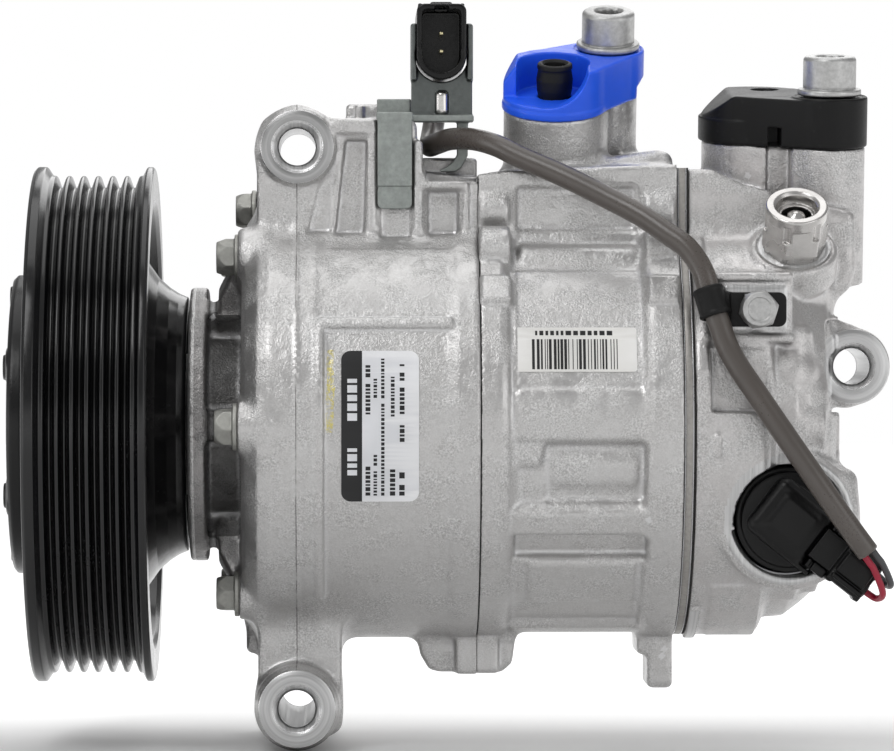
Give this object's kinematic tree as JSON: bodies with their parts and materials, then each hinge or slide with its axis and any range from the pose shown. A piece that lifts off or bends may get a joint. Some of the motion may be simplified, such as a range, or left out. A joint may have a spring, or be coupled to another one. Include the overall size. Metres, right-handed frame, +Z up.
{
  "type": "automotive air-conditioning compressor",
  "caption": "Swash-plate air-conditioning compressor for a car, with a ribbed belt pulley, cast aluminium housings, capped hose ports, control valve and lead.",
  "frame": {"origin": "on the shaft axis at the middle of the belt's width on the pulley", "axes": "+X along the shaft from the pulley to the rear housing, +Z up toward the hose ports, -Y toward the side with the lead and labels"},
  "size_m": [0.2163, 0.127, 0.1824],
  "materials": {
    "black_paint": "gloss",
    "rubber": "matte",
    "steel": "ground",
    "iron": "machined",
    "bronze": "bearing bronze",
    "cast_aluminium": "die-cast, satin",
    "piston_aluminium": "machined",
    "zinc": "zinc plated",
    "zinc_sheet": "zinc plated sheet",
    "bright_steel": "nickel plated",
    "black_plastic": "satin",
    "blue_plastic": "satin",
    "sheath": "soft sheath",
    "wire": "insulated",
    "label": "printed film"
  },
  "bodies": {
    "root": {"bearing_inner_ring": "steel", "nose_circlip": "steel", "shaft_seal": "rubber", "front_shaft_bush": "bronze", "rear_shaft_bush": "bronze", "thrust_race": "steel", "front_housing": "cast_aluminium", "housing_seal": "rubber", "cylinder_block": "cast_aluminium", "valve_gaskets": "rubber", "suction_reed": "steel", "valve_plate": "steel", "discharge_reed": "steel", "rear_housing": "cast_aluminium", "through_bolts": "zinc", "control_valve_body": "bronze", "control_valve_coil": "black_plastic", "control_valve_ring": "steel", "valve_plug": "black_plastic", "lead_wires": "wire", "lead": "sheath", "p_clip": "rubber", "p_clip_bolt": "zinc", "connector_bracket": "zinc_sheet", "bracket_clip": "zinc_sheet", "lead_connector": "black_plastic", "relief_valve": "bright_steel", "labels": "label", "destroke_spring": "steel"},
    "drive_line": {"pulley": "black_paint", "rubber_dampers": "rubber", "hub_plate": "black_paint", "drive_pins": "black_paint", "shaft_nut": "zinc", "bearing_outer_ring": "steel", "drive_shaft": "steel", "lug_plate": "iron"},
    "ball_set": {"bearing_balls": "steel"},
    "roller_set": {"thrust_rollers": "steel"},
    "sleeve": {"swash_sleeve": "steel"},
    "swash": {"swash_plate": "iron"},
    "suction_plug": {"suction_cap": "blue_plastic", "suction_stopper": "rubber", "suction_bolt": "zinc"},
    "discharge_plug": {"discharge_cap": "black_plastic", "discharge_bolt": "zinc"},
    "plunger": {"control_valve_plunger": "steel"},
    "poppet": {"relief_poppet": "steel"},
    "piston_body_1": {"piston_1": "piston_aluminium"},
    "shoe_pair_1": {"shoes_1": "bronze"},
    "piston_body_2": {"piston_2": "piston_aluminium"},
    "shoe_pair_2": {"shoes_2": "bronze"},
    "piston_body_3": {"piston_3": "piston_aluminium"},
    "shoe_pair_3": {"shoes_3": "bronze"},
    "piston_body_4": {"piston_4": "piston_aluminium"},
    "shoe_pair_4": {"shoes_4": "bronze"},
    "piston_body_5": {"piston_5": "piston_aluminium"},
    "shoe_pair_5": {"shoes_5": "bronze"},
    "piston_body_6": {"piston_6": "piston_aluminium"},
    "shoe_pair_6": {"shoes_6": "bronze"}
  },
  "joints": [
    {"name": "drive_spin", "type": "hinge", "parent": "root", "child": "drive_line", "pos_m": [0, 0, 0], "axis": [1, 0, 0], "continuous": true},
    {"name": "ball_orbit", "type": "hinge", "parent": "root", "child": "ball_set", "pos_m": [0.01, 0, 0], "axis": [1, 0, 0], "continuous": true},
    {"name": "roller_orbit", "type": "hinge", "parent": "root", "child": "roller_set", "pos_m": [0.044, 0, 0], "axis": [1, 0, 0], "continuous": true},
    {"name": "swash_tilt", "type": "hinge", "parent": "sleeve", "child": "swash", "pos_m": [0.088, 0, 0], "axis": [0, 1, 0], "range_deg": [0, 18]},
    {"name": "sleeve_slide", "type": "slide", "parent": "root", "child": "sleeve", "axis": [-1, 0, 0], "range_m": [0, 0.01], "deforming": ["destroke_spring"]},
    {"name": "piston_1_stroke", "type": "slide", "parent": "root", "child": "piston_body_1", "axis": [1, 0, 0], "range_m": [-0.00461, 0]},
    {"name": "shoes_1_tilt", "type": "hinge", "parent": "piston_body_1", "child": "shoe_pair_1", "pos_m": [0.088, 0.02901, 0.01675], "axis": [0, 1, 0], "range_deg": [0, 18.01]},
    {"name": "piston_2_stroke", "type": "slide", "parent": "root", "child": "piston_body_2", "axis": [1, 0, 0], "range_m": [0, 0.00082]},
    {"name": "shoes_2_tilt", "type": "hinge", "parent": "piston_body_2", "child": "shoe_pair_2", "pos_m": [0.088, 0, 0.0335], "axis": [0, 1, 0], "range_deg": [0, 18.01]},
    {"name": "piston_3_stroke", "type": "slide", "parent": "root", "child": "piston_body_3", "axis": [1, 0, 0], "range_m": [-0.00461, 0]},
    {"name": "shoes_3_tilt", "type": "hinge", "parent": "piston_body_3", "child": "shoe_pair_3", "pos_m": [0.088, -0.02901, 0.01675], "axis": [0, 1, 0], "range_deg": [0, 18.01]},
    {"name": "piston_4_stroke", "type": "slide", "parent": "root", "child": "piston_body_4", "axis": [1, 0, 0], "range_m": [-0.01539, 0]},
    {"name": "shoes_4_tilt", "type": "hinge", "parent": "piston_body_4", "child": "shoe_pair_4", "pos_m": [0.088, -0.02901, -0.01675], "axis": [0, 1, 0], "range_deg": [0, 18.01]},
    {"name": "piston_5_stroke", "type": "slide", "parent": "root", "child": "piston_body_5", "axis": [1, 0, 0], "range_m": [-0.02078, 0]},
    {"name": "shoes_5_tilt", "type": "hinge", "parent": "piston_body_5", "child": "shoe_pair_5", "pos_m": [0.088, 0, -0.0335], "axis": [0, 1, 0], "range_deg": [0, 18.01]},
    {"name": "piston_6_stroke", "type": "slide", "parent": "root", "child": "piston_body_6", "axis": [1, 0, 0], "range_m": [-0.01539, 0]},
    {"name": "shoes_6_tilt", "type": "hinge", "parent": "piston_body_6", "child": "shoe_pair_6", "pos_m": [0.088, 0.02901, -0.01675], "axis": [0, 1, 0], "range_deg": [0, 18.01]},
    {"name": "valve_plunger_travel", "type": "slide", "parent": "root", "child": "plunger", "axis": [0, -1, 0], "range_m": [0, 0.004], "stiffness_N_per_m": 400},
    {"name": "relief_lift", "type": "slide", "parent": "root", "child": "poppet", "axis": [0, -0.6157, 0.788], "range_m": [0, 0.002], "stiffness_N_per_m": 6000},
    {"name": "suction_cap_off", "type": "slide", "parent": "root", "child": "suction_plug", "axis": [0, -0.3173, 0.9483], "range_m": [0, 0.06]},
    {"name": "discharge_cap_off", "type": "slide", "parent": "root", "child": "discharge_plug", "axis": [0, -0.1564, 0.9877], "range_m": [0, 0.06]}
  ],
  "couplings": [
    {"joint": "ball_orbit", "follows": "drive_spin", "ratio": 0.5711},
    {"joint": "roller_orbit", "follows": "drive_spin", "ratio": 0.5},
    {"joint": "sleeve_slide", "follows": "swash_tilt", "m_per_rad": 0.031765},
    {"joint": "piston_1_stroke", "follows": "swash_tilt", "m_per_rad": -0.014602},
    {"joint": "shoes_1_tilt", "follows": "swash_tilt", "ratio": 1},
    {"joint": "piston_2_stroke", "follows": "swash_tilt", "m_per_rad": 0.002562},
    {"joint": "shoes_2_tilt", "follows": "swash_tilt", "ratio": 1},
    {"joint": "piston_3_stroke", "follows": "swash_tilt", "m_per_rad": -0.014602},
    {"joint": "shoes_3_tilt", "follows": "swash_tilt", "ratio": 1},
    {"joint": "piston_4_stroke", "follows": "swash_tilt", "m_per_rad": -0.048928},
    {"joint": "shoes_4_tilt", "follows": "swash_tilt", "ratio": 1},
    {"joint": "piston_5_stroke", "follows": "swash_tilt", "m_per_rad": -0.066091},
    {"joint": "shoes_5_tilt", "follows": "swash_tilt", "ratio": 1},
    {"joint": "piston_6_stroke", "follows": "swash_tilt", "m_per_rad": -0.048928},
    {"joint": "shoes_6_tilt", "follows": "swash_tilt", "ratio": 1}
  ]
}
